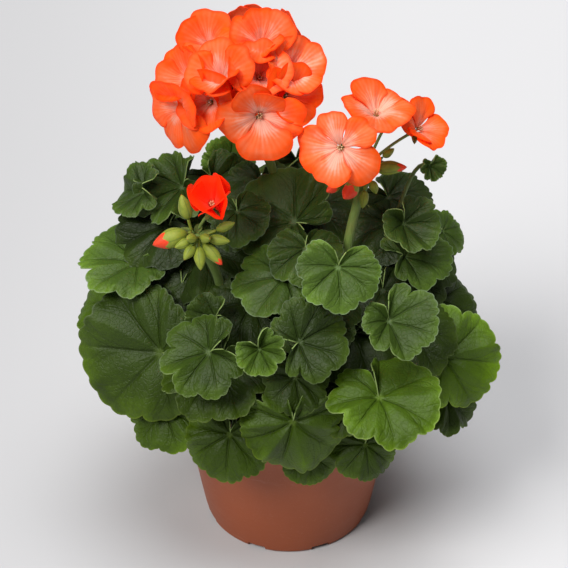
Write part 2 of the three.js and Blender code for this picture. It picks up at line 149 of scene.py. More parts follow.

# Small, young and shaded leaves between the large ones, in the visual model only. Most are
# made dark as painted shade, filling the shadowed inside of the plant
MINOR_LEAVES = (
    Leaf("young_curled", (-14, -74, 160), 24, -5, 40, 30, "middle", 132, 0.75, 41, cup=0.34,
         fold=0.5, wave=1.6, gap=0.45, long=0.05, pleat=1.3, notch=1.6),
    Leaf("young_cupped", (-36, -50, 161), 24, -10, 50, -60, "left", 140, 0.4, 42, cup=0.25,
         fold=0.2, wave=1.4, gap=0.35, pleat=1.2, notch=1.5),
    Leaf("below_centre", (3, -74, 143), 32, 0, 40, 0, "middle", 120, 0.42, 43, fold=0.1, gap=0.3,
         long=0.09, pleat=1.2),
    Leaf("far_left", (-90, 2, 132), 40, -50, 50, -60, "left", 112, 0.85, 44, cup=0.0),
    Leaf("behind_heart", (8, -34, 190), 36, 5, 64, 0, "middle", 150, 0.5, 45),
    Leaf("left_shaded", (-53, -24, 158), 46, -25, 60, 0, "left", 136, 0.2, 46, wave=0.8),
    Leaf("left_upper_shaded", (-60, -2, 182), 46, -35, 60, -50, "left", 144, 0.3, 47, long=0.1),
    Leaf("right_low_shaded", (80, -32, 98), 38, 50, 35, 20, "right", 98, 0.45, 48, wave=1.3,
         pleat=1.2, notch=1.4),
    Leaf("front_skirt", (10, -68, 90), 29, 5, 24, 0, "middle", 96, 0.6, 49, wave=1.0),
    Leaf("right_fold", (56, -18, 194), 30, 30, 50, 20, "right", 148, 0.44, 50, cup=0.2, fold=0.4,
         wave=0.8, gap=0.4, long=0.09, pleat=1.2, notch=1.2),
    Leaf("right_inner", (50, -4, 184), 38, 10, 62, -20, "right", 146, 0.28, 51, cup=-0.06,
         notch=1.3),
    Leaf("crinkled_tip", (-72, 6, 197), 30, -55, 45, -60, "left", 150, 0.5, 52, cup=0.1, fold=0.2,
         wave=2.2, gap=0.3, pleat=1.4, notch=1.7),
    Leaf("young_stalked", (69, 5, 213), 14, 30, 30, 0, "right", 152, 0.85, 53, cup=0.25, fold=0.4,
         wave=2.0, gap=0.35, pleat=1.5, notch=1.6),
    Leaf("centre_shaded", (12, -48, 166), 46, 0, 60, 0, "middle", 136, 0.3, 54, wave=0.8),
    Leaf("right_inner_low", (58, -40, 148), 48, 30, 60, 0, "right", 124, 0.35, 55, wave=0.8),
    Leaf("left_inner_low", (-46, -38, 140), 48, -30, 60, 0, "left", 120, 0.3, 56, wave=0.8),
    Leaf("front_inner_low", (2, -58, 118), 46, 0, 55, 0, "middle", 108, 0.3, 57, wave=0.8),
    Leaf("back_inner", (-4, 20, 180), 46, 180, 75, 0, "back", 148, 0.6, 58, wave=0.8),
    Leaf("back_inner_low", (0, 52, 140), 44, 180, 60, 0, "back", 112, 0.5, 59, wave=0.8),
    Leaf("back_skirt_middle", (-4, 68, 92), 36, 180, 24, 0, "back", 96, 0.7, 60),
    Leaf("middle_inner", (-18, -34, 158), 50, -5, 62, 20, "middle", 134, 0.3, 61),
    Leaf("middle_inner_low", (-8, -48, 138), 50, -5, 60, -20, "left", 122, 0.3, 62),
    Leaf("right_inner_middle", (32, -48, 150), 48, 12, 60, 10, "right", 128, 0.3, 63),
    Leaf("right_inner_front", (24, -60, 128), 46, 10, 58, 0, "right", 114, 0.3, 64),
    Leaf("top_inner", (8, 12, 184), 50, 0, 72, 60, "middle", 150, 0.35, 65),
    Leaf("top_inner_left", (-26, 14, 184), 48, -10, 70, 0, "middle", 146, 0.35, 66),
    Leaf("top_inner_right", (36, 14, 176), 50, 20, 70, 0, "right", 146, 0.35, 67),
    Leaf("right_inner_upper", (60, -6, 164), 48, 40, 62, 0, "right", 136, 0.3, 68),
    Leaf("left_inner_upper", (-44, -8, 170), 50, -30, 64, 0, "left", 140, 0.3, 69),
    Leaf("left_inner_edge", (-76, -10, 140), 46, -60, 50, 0, "left", 122, 0.4, 70),
    Leaf("crinkled_back", (4, 36, 196), 34, 0, 40, 10, "back", 150, 0.4, 71, cup=0.05, fold=0.2,
         wave=2.2, gap=0.4, pleat=1.3, notch=1.7),
    Leaf("crinkled_middle", (-38, 24, 192), 40, -8, 52, 40, "middle", 148, 0.4, 72, cup=0.0,
         fold=0.1, wave=2.4, gap=0.3, pleat=1.4, notch=1.7),
    Leaf("right_inner_gap", (46, -32, 164), 44, 20, 60, 0, "right", 132, 0.3, 73),
    Leaf("crown_inner", (-14, 20, 194), 36, 0, 58, 0, "middle", 152, 0.35, 74, wave=1.2),
)
LEAF_LOBES = 7

# Radii of a leaf stalk near its stem, at the blade, and where it swells at its foot
STALK_RADII = (1.45, 0.95)
STALK_FOOT_RADIUS = 1.9
STALK_SLOT = 3
ANTHER_SLOT = 4

# Flower heads: stem, stalk foot, bend and hub
Head = namedtuple("Head", "stem foot bend hub")
HEADS = {
    "big": Head("middle", (-4, 5, 160), (-8, 13, 205), (-22, 4, 240)),
    "right": Head("right", (31, -13, 150), (29, -20, 185), (38, -7, 221)),
    "left": Head("left", (-33, -15, 148), (-35, -28, 170), (-44, -42, 204)),
}
HEAD_STALK_RADIUS = 2.3
HEAD_BRACTS = 6

# Flowers: head, throat, width, facing, pitch, turn of the middle lower petal, how far the three
# lower and the two upper petals stand up (0 flat, 1 closed), and seed. Last come how broad the
# petals are, how red a half-open flower is, and how far the pale throat spreads
Flower = namedtuple(
    "Flower", "name head centre width facing pitch turn low up seed fan red pale",
    defaults=(1.0, 0.0, 0.0))
FLOWERS = (
    Flower("big_front", "big", (-14, -28, 261), 42, 8, 25, 0, 0.08, 0.5, 1, pale=0.5),
    Flower("big_left", "big", (-49, -16, 258), 42, -40, 10, -12, 0.06, 0.3, 2, fan=1.06),
    Flower("big_front_left", "big", (-31, -18, 274), 38, -15, 35, 195, 0.3, 0.7, 3, pale=0.4),
    Flower("big_crown_left", "big", (-37, 1, 281), 33, -22, 42, 175, 0.38, 0.75, 4),
    Flower("big_crown", "big", (-13, -2, 283), 37, 8, 45, 185, 0.34, 0.75, 5, pale=0.3),
    Flower("big_right", "big", (-1, -9, 272), 37, 32, 40, 165, 0.42, 0.65, 6, pale=1.0),
    Flower("big_back", "big", (-18, 27, 271), 38, 175, 35, 0, 0.15, 0.4, 7),
    Flower("right_front", "right", (24, -32, 246), 40, -10, 28, -14, 0.08, 0.2, 8, fan=0.93,
           pale=0.7),
    Flower("right_crown", "right", (41, -10, 249), 39, 25, 84, 40, 0.22, 0.38, 9, fan=0.98,
           pale=0.6),
    Flower("right_side", "right", (61, -5, 239), 31, 40, 42, 150, 0.38, 0.45, 10),
    Flower("left_small", "left", (-36, -40, 218), 35, -4, 60, 32, 0.95, 0.66, 11, fan=1.1,
           red=1.0),
)
MINOR_FLOWERS = (
    Flower("big_upper_left", "big", (-45, -8, 268), 37, -52, 25, 160, 0.38, 0.6, 21),
    Flower("big_middle", "big", (-14, -14, 272), 37, 10, 45, 180, 0.42, 0.55, 22, pale=1.0),
    Flower("big_far_right", "big", (-1, 4, 262), 30, 78, 5, 0, 0.25, 0.6, 23),
    Flower("big_back_left", "big", (-42, 16, 265), 36, -130, 30, 0, 0.2, 0.4, 24),
    Flower("big_back_right", "big", (-1, 20, 272), 36, 120, 40, 0, 0.2, 0.4, 25),
    Flower("right_back", "right", (48, 5, 239), 32, 150, 40, 0, 0.3, 0.5, 26),
    Flower("big_left_inner", "big", (-36, -18, 262), 36, -25, 22, 180, 0.4, 0.5, 27),
    Flower("big_right_inner", "big", (-2, -16, 264), 36, 30, 20, 160, 0.34, 0.55, 28),
    Flower("big_inner", "big", (-20, -13, 264), 38, 0, 40, 180, 0.35, 0.5, 29),
)

# Directions of the petals, in degrees from the middle lower one, and steps of their grids
PETAL_ANGLES = (0, 70, -70, 144, -144)
PETAL_STEPS = (30, 20)
MINOR_PETAL_STEPS = (24, 15)
PETAL_VEINS = 11
SEPALS = 5
STAMENS = 6
PEDICEL_RADIUS = 0.75

# Buds: head, then centre, length, width and how far the orange tip shows
BUDS = {
    "right_head": ("right", (
        ((49, -10, 221), 16, 7, 0.45),
        ((29, -26, 218), 13, 7.5, 0.85),
        ((21, -25, 219), 9, 5, 0.85),
        ((36, -18, 208), 9, 5, 0.0),
        ((41, -15, 213), 7, 4.5, 0.0),
        ((48, -6, 227), 7, 4, 0.0),
    )),
    "left_head_low": ("left", (
        ((-50, -49, 203), 9, 5, 0.0),
        ((-47, -51, 200), 10, 5.2, 0.0),
        ((-42, -52, 197), 12, 5.8, 0.0),
        ((-36, -50, 198), 14, 6.2, 0.35),
        ((-39, -50, 207), 8, 4.6, 0.0),
        ((-33, -47, 204), 11, 5.2, 0.0),
        ((-30, -43, 209), 10, 4.8, 0.0),
        ((-46, -50, 207), 8, 4.6, 0.0),
    )),
    "left_head_side": ("left", (
        ((-56, -46, 204), 18, 9.5, 0.6),
        ((-49, -40, 218), 13, 6.6, 0.0),
    )),
}
BUD_STALK_RADIUS = 0.8

# Camera: where it looks and from how far, millimetres and degrees
CAMERA_TARGET = (-2.4, 0, 145)
CAMERA_DISTANCE = 950
CAMERA_ELEVATION = 35.5
CAMERA_LENS = 118
CAMERA_SENSOR = 36


class GeraniumLeafSettings(bpy.types.PropertyGroup):
    thickness: FloatProperty(
        name="Blade thickness", description="Thickness of a leaf blade", default=0.5 * MM,
        unit="LENGTH")
    around: IntProperty(
        name="Steps around", description="Grid steps round a large blade", default=224)
    outward: IntProperty(
        name="Steps outward", description="Grid steps from stalk to margin", default=15)
    green: FloatVectorProperty(
        name="Blade green", description="Colour of the middle of a blade",
        default=(0.080, 0.148, 0.010), size=3, subtype="COLOR")
    margin_green: FloatVectorProperty(
        name="Margin green", description="Colour near the margin of a blade",
        default=(0.190, 0.330, 0.018), size=3, subtype="COLOR")


class GeraniumFlowerSettings(bpy.types.PropertyGroup):
    thickness: FloatProperty(
        name="Petal thickness", description="Thickness of a petal", default=0.35 * MM,
        unit="LENGTH")
    coral: FloatVectorProperty(
        name="Petal coral", description="Colour of the middle of a petal",
        default=(0.98, 0.132, 0.007), size=3, subtype="COLOR")
    throat: FloatVectorProperty(
        name="Petal throat", description="Colour near the throat of a flower",
        default=(0.97, 0.27, 0.105), size=3, subtype="COLOR")


class GeraniumPotSettings(bpy.types.PropertyGroup):
    sides: IntProperty(name="Sides", description="Corners round the pot", default=160)
    terracotta: FloatVectorProperty(
        name="Pot colour", description="Colour of the moulded pot",
        default=(0.315, 0.068, 0.017), size=3, subtype="COLOR")


class GeraniumStageSettings(bpy.types.PropertyGroup):
    floor: FloatVectorProperty(
        name="Floor colour", description="Colour of the studio floor",
        default=(0.635, 0.635, 0.65), size=3, subtype="COLOR")
    key_strength: FloatProperty(
        name="Key strength", description="Strength of the main soft light", default=2.3)


def only(piece):
    """Selects one piece alone and makes it active."""
    if bpy.context.mode != "OBJECT":
        bpy.ops.object.mode_set(mode="OBJECT")
    bpy.ops.object.select_all(action="DESELECT")
    piece.select_set(True)
    bpy.context.view_layer.objects.active = piece


BLANKS = {}


def sheet(name, across, along):
    """A flat grid, made once for each size and then copied, whose points are moved into shape."""
    if (across, along) not in BLANKS:
        bpy.ops.object.select_all(action="DESELECT")
        bpy.ops.mesh.primitive_grid_add(x_subdivisions=across, y_subdivisions=along, size=1)
        blank = bpy.context.object
        mesh = blank.data.copy()
        mesh.uv_layers[0].name = "spread"
        bpy.data.objects.remove(blank)
        BLANKS[across, along] = mesh
    piece = bpy.data.objects.new(name, BLANKS[across, along].copy())
    piece.data.name = name
    bpy.context.collection.objects.link(piece)
    return piece


def places(piece):
    """The grid coordinates of a sheet's points, from 0 to 1 across and along."""
    flat = np.empty(len(piece.data.vertices) * 3)
    piece.data.vertices.foreach_get("co", flat)
    flat = flat.reshape(-1, 3)
    return flat[:, 0] + 0.5, flat[:, 1] + 0.5


def put(piece, points):
    """Moves a sheet's points to places given in millimetres."""
    piece.data.vertices.foreach_set("co", (np.asarray(points) * MM).ravel())
    piece.data.update()


def open_up(piece):
    """Starts to edit one piece, with all of it selected."""
    only(piece)
    bpy.ops.object.mode_set(mode="EDIT")
    bpy.ops.mesh.select_all(action="SELECT")


def merge_points(piece, closed=False):
    """Merges the points that meet, and turns the faces of a closed piece outwards."""
    open_up(piece)
    bpy.ops.mesh.remove_doubles(threshold=0.01 * MM)
    if closed:
        bpy.ops.mesh.normals_make_consistent(inside=False)
    bpy.ops.object.mode_set(mode="OBJECT")


def thicken(piece, thickness):
    """Gives a sheet a back and a rim, which wear the second and third material."""
    only(piece)
    bpy.ops.object.modifier_add(type="SOLIDIFY")
    wall = piece.modifiers[-1]
    wall.thickness = thickness
    wall.offset = -1.0
    wall.material_offset = 1
    wall.material_offset_rim = 2
    bpy.ops.object.modifier_apply(modifier=wall.name)


def smooth(piece, angle=60):
    """Shades a piece smooth, apart from edges sharper than an angle in degrees."""
    only(piece)
    bpy.ops.object.shade_smooth_by_angle(angle=math.radians(angle))


def wear(piece, *looks):
    """Puts materials in a piece's slots."""
    for look in looks:
        piece.data.materials.append(look)


def use_slot(piece, index):
    """Gives every face of a piece one material slot."""
    piece.data.polygons.foreach_set("material_index", [index] * len(piece.data.polygons))


def joined(pieces, name):
    """Joins pieces into one named object."""
    only(pieces[0])
    for other in pieces:
        other.select_set(True)
    bpy.ops.object.join()
    piece = bpy.context.object
    piece.name = name
    piece.data.name = name
    return piece


def tag(piece, name, value):
    """Writes one number on every point, for the materials to read."""
    layer = piece.data.attributes.new(name, "FLOAT", "POINT")
    layer.data.foreach_set("value", np.full(len(piece.data.vertices), value))


def seat(piece, slot, *nodes):
    """Attaches a finished piece to its body and hides the CAD nodes it stands for. The slot is not used.
    """
    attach(piece, BODY)
    if nodes:
        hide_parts(*nodes)


def wobble(values, seed, step):
    """Smooth repeatable noise along a row of numbers, about -1 to 1."""
    return np.array([noise.noise(Vector((v * step, seed * 7.31, 0.5))) for v in values])


def smoothstep(low, high, x):
    """0 under low, 1 over high, and smooth between them."""
    t = np.clip((x - low) / (high - low), 0, 1)
    return t * t * (3 - 2 * t)


def unit(v):
    """The same direction with a length of one."""
    return v / np.linalg.norm(v)


def facing_frame(facing, pitch, turn):
    """Right-hand side, tip and facing directions of a blade or flower."""
    a, p, t = (math.radians(angle) for angle in (facing, pitch, turn))
    face = np.array((math.sin(a) * math.cos(p), -math.cos(a) * math.cos(p), math.sin(p)))
    downhill = np.array((math.sin(a) * math.sin(p), -math.cos(a) * math.sin(p), -math.cos(p)))
    across = np.array((math.cos(a), math.sin(a), 0.0))
    tip = math.cos(t) * downhill + math.sin(t) * across
    return np.cross(tip, face), tip, face


def spokes(count, start, side, up):
    """Directions evenly spaced round a point, in the plane of two others."""
    for angle in np.linspace(0, 2 * math.pi, count, endpoint=False) + start:
        yield math.cos(angle) * side + math.sin(angle) * up


def curve_points(corners, steps):
    """Points of a Bezier curve through its corner points."""
    t = np.linspace(0, 1, steps + 1)[:, None]
    order = len(corners) - 1
    return sum(math.comb(order, i) * (1 - t) ** (order - i) * t ** i * corner
               for i, corner in enumerate(corners))


def spline_points(knots, steps):
    """Points of a smooth curve that passes through all its knots."""
    knots = np.asarray(knots, float)
    ends = np.vstack([2 * knots[0] - knots[1], knots, 2 * knots[-1] - knots[-2]])
    out = []
    spans = len(knots) - 1
    for t in np.linspace(0, spans, steps + 1):
        i = min(int(t), spans - 1)
        f = t - i
        a, b, c, d = ends[i:i + 4]
        out.append(0.5 * (2 * b + (c - a) * f + (2 * a - 5 * b + 4 * c - d) * f ** 2
                          + (3 * b - a - 3 * c + d) * f ** 3))
    return np.array(out)


def rod(name, line, radii, around, lumps=0.0):
    """A round closed rod along a line of points, with its own radius at each."""
    steps = len(line) - 1
    piece = sheet(name, around, steps)
    u, v = places(piece)
    line = np.asarray(line, float)
    tangents = np.gradient(line, axis=0)
    tangents /= np.linalg.norm(tangents, axis=1)[:, None]
    side = unit(np.cross(tangents[0], (0.31, 0.42, 0.85)))
    sides = []
    for tangent in tangents:
        side = unit(side - tangent * side.dot(tangent))
        sides.append(side)
    sides = np.array(sides)
    ups = np.cross(tangents, sides)
    row = np.clip(np.rint(v * steps).astype(int), 0, steps)
    radii = np.array(radii, float)
    radii[0] = radii[-1] = 0.0
    angle = 2 * np.pi * u
    radius = radii[row] * (1 + lumps * np.sin(3 * angle + 0.7 * row))
    points = line[row] + radius[:, None] * (
        np.cos(angle)[:, None] * sides[row] + np.sin(angle)[:, None] * ups[row])
    put(piece, points)
    merge_points(piece, closed=True)
    return piece


def stem_point(stem, height):
    """The middle of a stem at a height."""
    foot, tip = stem.foot, stem.tip
    t = (height - foot[2]) / (tip[2] - foot[2])
    swell = 4 * t * (1 - t)
    x, y = (foot[i] + t * (tip[i] - foot[i]) + swell * stem.bow[i] for i in (0, 1))
    return np.array((x, y, height))


def leave_stem(stem, height, goal):
    """Where a stalk leaves its stem, and the direction in which it sets off to its goal."""
    core = stem_point(stem, height)
    outward = unit((goal - core) * (1, 1, 0))
    return core + outward * (0.8 * STEM_RADIUS), unit(outward + (0, 0, 0.8))


# Materials


class Look:
    """A material being built from nodes."""

    def __init__(self, name):
        self.material = bpy.data.materials.new(name)
        self.material.use_nodes = True
        self.tree = self.material.node_tree
        self.tree.nodes.clear()

    def node(self, kind, inputs=None, **values):
        made = self.tree.nodes.new(kind)
        for key, value in values.items():
            setattr(made, key, value)
        for key, value in (inputs or {}).items():
            self.feed(made.inputs[key], value)
        return made

    def feed(self, socket, value):
        """Links or sets a socket, and makes a plain colour opaque."""
        if isinstance(value, bpy.types.NodeSocket):
            self.tree.links.new(value, socket)
        elif hasattr(value, "__len__") and socket.type == "RGBA" and len(value) == 3:
            socket.default_value = (*value, 1.0)
        else:
            socket.default_value = value

    def math(self, operation, *parts):
        return self.node("ShaderNodeMath", dict(enumerate(parts)), operation=operation).outputs[0]

    def times(self, first, *others):
        """A product of numbers."""
        for other in others:
            first = self.math("MULTIPLY", first, other)
        return first

    def add_up(self, start, *terms):
        """A number plus others times their weights."""
        for value, weight in terms:
            start = self.math("MULTIPLY_ADD", value, weight, start)
        return start

    def off(self, a, b):
        """How far apart two numbers are."""
        return self.math("ABSOLUTE", self.math("SUBTRACT", a, b))

    def ramp(self, value, low, high, start, end):
        """Goes smoothly from start to end while the value goes from low to high."""
        made = self.node("ShaderNodeMapRange", {
            "Value": value, "From Min": low, "From Max": high, "To Min": start, "To Max": end},
            interpolation_type="SMOOTHSTEP")
        return made.outputs["Result"]

    def fall(self, value, low, high):
        """1 under low, 0 over high."""
        return self.ramp(value, low, high, 1.0, 0.0)

    def rise(self, value, low, high):
        """0 under low, 1 over high."""
        return self.ramp(value, low, high, 0.0, 1.0)

    def mix(self, factor, a, b, blend="MIX"):
        made = self.node("ShaderNodeMix", data_type="RGBA", blend_type=blend)
        self.feed(made.inputs[0], factor)
        self.feed(made.inputs[6], a)
        self.feed(made.inputs[7], b)
        return made.outputs[2]

    def stain(self, colour, tint, share, strength):
        """A colour turned towards a tint where the share is high."""
        return self.mix(self.times(share, strength), colour, tint)

    def scaled(self, colour, factor):
        """A colour times a number."""
        made = self.node("ShaderNodeVectorMath", {0: colour, "Scale": factor}, operation="SCALE")
        return made.outputs[0]

    def place(self):
        """Where a point lies, in metres."""
        return self.node("ShaderNodeTexCoord").outputs["Object"]

    def stretched(self, where, scale):
        return self.node("ShaderNodeMapping", {"Vector": where, "Scale": scale}).outputs[0]

    def axis(self, where, index):
        return self.node("ShaderNodeSeparateXYZ", {0: where}).outputs[index]

    def spread(self):
        """The two grid coordinates that a piece's UV map holds."""
        uv = self.node("ShaderNodeUVMap", uv_map="spread").outputs["UV"]
        return self.axis(uv, 0), self.axis(uv, 1)

    def noise(self, where, scale, detail=3.0, rough=0.55):
        made = self.node("ShaderNodeTexNoise", {
            "Vector": where, "Scale": scale, "Detail": detail, "Roughness": rough})
        return made.outputs["Fac"]

    def cells(self, where, scale):
        made = self.node("ShaderNodeTexVoronoi", {"Vector": where, "Scale": scale},
                         feature="DISTANCE_TO_EDGE")
        return made.outputs["Distance"]

    def number(self, name):
        """What the attribute of that name holds."""
        return self.node("ShaderNodeAttribute", attribute_name=name).outputs["Fac"]

    def bump(self, height, distance, strength):
        made = self.node("ShaderNodeBump", {
            "Height": height, "Distance": distance, "Strength": strength})
        return made.outputs["Normal"]

    def finish(self, colour, roughness, normal=None, through=None, share=0.0, **constants):
        """Principled surface, with a share of light let through where given."""
        turned = {} if normal is None else {"Normal": normal}
        shader = self.node(
            "ShaderNodeBsdfPrincipled", {"Base Color": colour, "Roughness": roughness, **turned})
        for key, value in constants.items():
            shader.inputs[key.replace("_", " ")].default_value = value
        result = shader.outputs[0]
        if share:
            glow = self.node("ShaderNodeBsdfTranslucent", {"Color": through, **turned})
            result = self.node("ShaderNodeMixShader", {
                0: share, 1: result, 2: glow.outputs[0]}).outputs[0]
        self.node("ShaderNodeOutputMaterial", {"Surface": result})
        return self.material


def shared_look(name, make, *values):
    """The material of that name, made the first time it is asked for."""
    return bpy.data.materials.get(name) or make(name, *values)


def leaf_veins(look, u, v, where):
    """How strongly a main and a side vein show at a point of a blade, 0 to 1."""
    away = look.off(look.math("FRACT", look.times(u, LEAF_LOBES)), 0.5)
    taper = look.times(look.fall(v, 0.45, 1.0), look.rise(v, 0.03, 0.12))
    main = look.times(look.fall(look.times(away, v), 0.001, 0.034), taper)
    stray = look.add_up(-0.08, (look.noise(where, 70.0), 0.16))
    bent = look.math("ABSOLUTE", look.add_up(away, (stray, v)))
    side = 0.0
    for start, slope, width in ((0.30, 0.62, 0.030), (0.55, 0.80, 0.020)):
        course = look.times(look.math("SUBTRACT", v, start), slope)
        line = look.fall(look.times(look.off(bent, course), v), 0.001, width)
        line = look.times(line, look.rise(v, start, start + 0.06), look.fall(v, 0.80, 1.0))
        side = look.math("MAXIMUM", side, line)
    return main, side


def leaf_look(name, green, margin, under=False):
    """Velvety blade: sunken veins, a fine net between them, a yellower margin and a pale hem."""
    look = Look(name)
    u, v = look.spread()
    where = look.place()
    main, side = leaf_veins(look, u, v, where)
    net = look.fall(look.cells(where, 420.0), 0.0, 0.16)
    patches = look.noise(where, 55.0, 4.0)
    mottle = look.noise(where, 260.0, 4.0, 0.65)
    grain = look.noise(where, 1500.0, 2.0)
    outer = look.times(look.math("POWER", v, 3.5), look.rise(patches, 0.25, 0.65))
    colour = look.mix(outer, green, margin)
    zone = look.times(look.rise(v, 0.25, 0.45), look.fall(v, 0.50, 0.78), look.rise(patches, 0.35, 0.65))
    colour = look.stain(colour, look.scaled(green, 0.55), zone, 0.28)
    colour = look.stain(colour, (0.22, 0.34, 0.06), look.fall(v, 0.02, 0.10), 0.6)
    if under:
        colour = look.mix(0.40, colour, (0.13, 0.20, 0.09))
        colour = look.stain(colour, (0.22, 0.31, 0.12), main, 0.7)
    else:
        # The sunken veins and the fine net between them are darkened: painted shade in their grooves
        shaded = look.scaled(green, 0.40)
        colour = look.stain(colour, (0.34, 0.46, 0.15), look.rise(v, 0.955, 1.0), 0.60)
        colour = look.stain(colour, shaded, main, 0.36)
        colour = look.stain(colour, shaded, side, 0.13)
        colour = look.stain(colour, look.scaled(green, 0.5), net, 0.10)
    # Painted sheen: upper leaves get a bluish grey cast for the overhead light they reflect; lower
    # leaves are made more saturated, without it
    below_painted_sheen = look.fall(look.axis(where, 2), 0.11, 0.18)
    tint = look.mix(below_painted_sheen, (0.99, 0.99, 1.9), (1.0, 1.03, 0.3))
    colour = look.mix(1.0, colour, tint, "MULTIPLY")
    # Brightness of each leaf by its tag: partly the leaf's own, partly painted shade from the flowers
    # and leaves over it
    level = look.times(look.add_up(0.55, (patches, 0.9)), look.number("tone"))
    fine = look.add_up(0.70, (grain, 0.30), (mottle, 0.30))
    colour = look.scaled(colour, look.times(level, fine))
    relief = look.add_up(0.0, (main, -1.0), (side, -0.32), (net, -0.20), (mottle, 0.60), (grain, 0.12))
    normal = look.bump(look.times(relief, -1.0 if under else 1.0), 0.60 * MM, 0.8)
    rough = look.add_up(0.38, (mottle, 0.20))
    return look.finish(
        colour, rough, normal, through=look.scaled(colour, 2.4), share=0.24,
        Specular_IOR_Level=0.28)


def margin_look(name):
    """The thin downy rim of a leaf."""
    look = Look(name)
    down = look.noise(look.place(), 2200.0, 2.0)
    colour = look.mix(down, (0.18, 0.28, 0.06), (0.34, 0.45, 0.15))
    return look.finish(colour, 0.8, through=(0.3, 0.4, 0.1), share=0.15)


def stalk_look(name, low, high, blush, share):
    """Finely hairy stalk, with a little blush along it."""
    look = Look(name)
    where = look.place()
    lines = look.noise(look.stretched(where, (1.0, 1.0, 0.15)), 900.0)
    patches = look.rise(look.noise(where, 60.0), 0.45, 0.75)
    colour = look.stain(look.mix(lines, low, high), blush, patches, share)
    down = look.noise(where, 2600.0, 2.0)
    normal = look.bump(look.math("ADD", lines, down), 0.15 * MM, 0.6)
    return look.finish(colour, 0.62, normal, Sheen_Weight=0.08, Sheen_Roughness=0.5)


def petal_look(name, coral, throat, back=False):
    """Soft petal: pinkish white by the throat, fine veins, coral towards a warmer edge that is partly
    painted shadow.
    """
    look = Look(name)
    u, v = look.spread()
    where = look.place()
    patches = look.noise(where, 110.0)
    wander = look.add_up(-0.35, (look.noise(where, 160.0, 2.0), 0.7))
    ray = look.off(look.math("FRACT", look.add_up(wander, (u, PETAL_VEINS))), 0.5)
    vein = look.times(look.fall(ray, 0.0, 0.16), look.fall(v, 0.25, 0.85))
    side = look.off(u, 0.5)
    pale = look.add_up(look.math("SUBTRACT", v, 0.55), (patches, 1.1), (side, 0.50), (ray, -0.30),
                       (look.number("pale"), -0.28))
    colour = look.mix(look.fall(pale, 0.15, 1.0), coral, throat)
    colour = look.stain(colour, (0.96, 0.60, 0.47), look.fall(pale, 0.02, 0.50), 0.85)
    # The edge is partly the petal's own deeper red, partly painted shadow where neighbouring petals
    # overlap
    edge = look.math("MAXIMUM", look.rise(side, 0.43, 0.50), look.rise(v, 0.90, 1.0))
    colour = look.stain(colour, (0.93, 0.082, 0.004), edge, 0.75)
    colour = look.stain(colour, (0.85, 0.12, 0.05), vein, 0.34)
    colour = look.mix(look.fall(v, 0.02, 0.08), colour, (0.45, 0.42, 0.10))
    colour = look.stain(colour, (0.98, 0.034, 0.002), look.number("red"), 0.85)
    if back:
        colour = look.mix(0.30, colour, (0.95, 0.30, 0.16))
    level = look.add_up(0.90, (patches, 0.20))
    colour = look.scaled(colour, look.times(level, look.number("tone")))
    relief = look.math("SUBTRACT", look.noise(where, 500.0), vein)
    normal = look.bump(relief, 0.12 * MM, 0.5)
    return look.finish(
        colour, 0.55, normal, through=look.scaled(colour, 1.4), share=0.30,
        Specular_IOR_Level=0.18)


def bud_look(name):
    """Hairy sepals that give way to the orange petal tip, by the tag named tip."""
    look = Look(name)
    u, v = look.spread()
    where = look.place()
    ribs = look.off(look.math("FRACT", look.times(u, SEPALS)), 0.5)
    green = look.mix(look.noise(where, 400.0), (0.13, 0.20, 0.012), (0.35, 0.39, 0.035))
    green = look.stain(green, (0.06, 0.10, 0.015), look.fall(ribs, 0.0, 0.12), 0.5)
    bare = look.add_up(1.0, (look.number("tip"), -0.6))
    jagged = look.add_up(look.math("ADD", v, 0.0625), (ribs, -0.25))
    orange = look.rise(look.math("SUBTRACT", jagged, bare), 0.0, 0.04)
    colour = look.mix(orange, green, (0.86, 0.050, 0.006))
    normal = look.bump(look.noise(where, 1800.0), 0.15 * MM, 0.7)
    return look.finish(colour, 0.6, normal, Sheen_Weight=0.08, Sheen_Roughness=0.4)


def soil_look(name):
    """Dark crumbly compost with lighter fibres."""
    look = Look(name)
    where = look.place()
    coarse = look.noise(where, 240.0, 6.0, 0.7)
    fine = look.noise(where, 1300.0)
    colour = look.mix(coarse, (0.018, 0.011, 0.007), (0.085, 0.050, 0.030))
    colour = look.mix(look.rise(fine, 0.62, 0.72), colour, (0.16, 0.11, 0.07))
    normal = look.bump(look.add_up(coarse, (fine, 0.4)), 1.2 * MM, 0.9)
    return look.finish(colour, 0.92, normal, Specular_IOR_Level=0.2)


def pot_look(name, terracotta):
    """Moulded terracotta-coloured plastic, faintly mottled and scuffed."""
    look = Look(name)
    where = look.place()
    cloudy = look.noise(where, 18.0, 5.0, 0.6)
    speckle = look.noise(where, 900.0, 2.0)
    scuffs = look.noise(look.stretched(where, (1.0, 1.0, 6.0)), 45.0, 6.0, 0.7)
    colour = look.mix(cloudy, look.scaled(terracotta, 0.86), look.scaled(terracotta, 1.14))
    colour = look.stain(colour, (0.55, 0.30, 0.20), look.rise(speckle, 0.60, 0.75), 0.12)
    colour = look.stain(colour, (0.55, 0.33, 0.25), look.rise(scuffs, 0.60, 0.72), 0.16)
    rough = look.add_up(0.38, (scuffs, 0.22))
    normal = look.bump(look.add_up(speckle, (cloudy, 2.0)), 0.08 * MM, 0.5)
    return look.finish(colour, rough, normal, Specular_IOR_Level=0.45)


def floor_look(name, colour):
    """Pale matt floor, a little darker towards the left as painted shade of uneven light."""
    look = Look(name)
    where = look.place()
    cloudy = look.noise(where, 1.2)
    shade = look.mix(cloudy, look.scaled(colour, 0.985), look.scaled(colour, 1.015))
    # Painted shade: the floor is made darker towards the left, standing in for the light falling off
    # there
    level = look.add_up(0.81, (look.rise(look.axis(where, 0), -0.28, 0.12), 0.19))
    return look.finish(look.scaled(shade, level), 0.75, Specular_IOR_Level=0.2)


